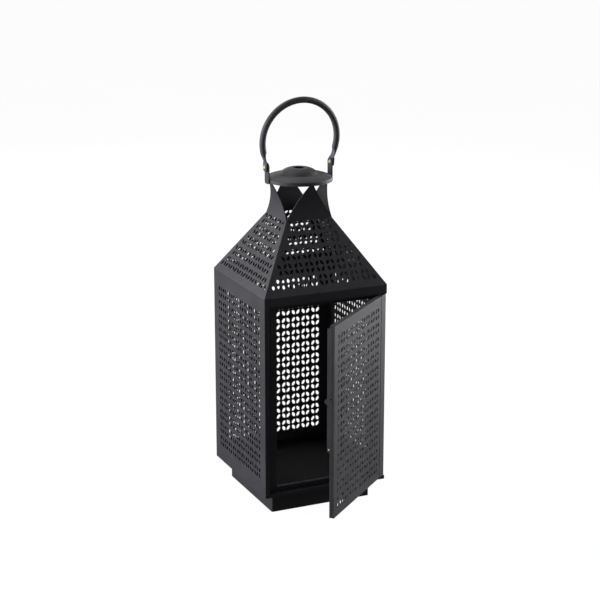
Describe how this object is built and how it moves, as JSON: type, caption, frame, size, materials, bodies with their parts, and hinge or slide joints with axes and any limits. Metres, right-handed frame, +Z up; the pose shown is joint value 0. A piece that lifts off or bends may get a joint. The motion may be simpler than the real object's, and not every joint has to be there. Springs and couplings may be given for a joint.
{
  "type": "candle lantern",
  "caption": "Square metal candle lantern with petal-pierced walls and pyramid roof, an open-petal neck under a domed cap, a hinged door and a swinging bail handle.",
  "frame": {"origin": "on the floor, under the middle of the foot", "axes": "+Z up, the door side faces -Y, +X is the door's hinge side"},
  "size_m": [0.16, 0.2573, 0.4952],
  "materials": {
    "black_powder_coat": "fine-textured satin powder coat",
    "cap_coat": "satin powder coat, slightly smoother",
    "brass": "dull, lightly aged",
    "plated_steel": "zinc plated"
  },
  "bodies": {
    "lantern": {"plinth_skirt": "black_powder_coat", "floor_tray": "black_powder_coat", "floor_rivets": "black_powder_coat", "side_panel_left": "black_powder_coat", "side_panel_right": "black_powder_coat", "back_panel": "black_powder_coat", "front_post_left": "black_powder_coat", "front_post_right": "black_powder_coat", "door_header": "black_powder_coat", "door_sill": "black_powder_coat", "roof_front": "black_powder_coat", "roof_right": "black_powder_coat", "roof_back": "black_powder_coat", "roof_left": "black_powder_coat", "cap_dome": "cap_coat", "cap_ring": "black_powder_coat", "handle_lug_left": "cap_coat", "handle_lug_right": "cap_coat", "bail_rivet_left": "brass", "bail_rivet_right": "brass", "hinge_pin_top": "plated_steel", "hinge_pin_bottom": "plated_steel", "hinge_washer": "plated_steel"},
    "door": {"door_skin": "black_powder_coat", "door_frame": "black_powder_coat", "door_hinge_stile": "black_powder_coat", "door_seam_strip": "black_powder_coat", "latch_strip": "black_powder_coat", "latch_stud": "brass"},
    "handle": {"handle_bail": "cap_coat"}
  },
  "joints": [
    {"name": "door_hinge", "type": "hinge", "parent": "lantern", "child": "door", "pos_m": [0.0758, -0.077, 0.1], "axis": [0, 0, 1], "range_deg": [-40.8, 129]},
    {"name": "bail_swing", "type": "hinge", "parent": "lantern", "child": "handle", "pos_m": [0, 0, 0.412], "axis": [1, 0, 0], "range_deg": [-146, 134]}
  ]
}
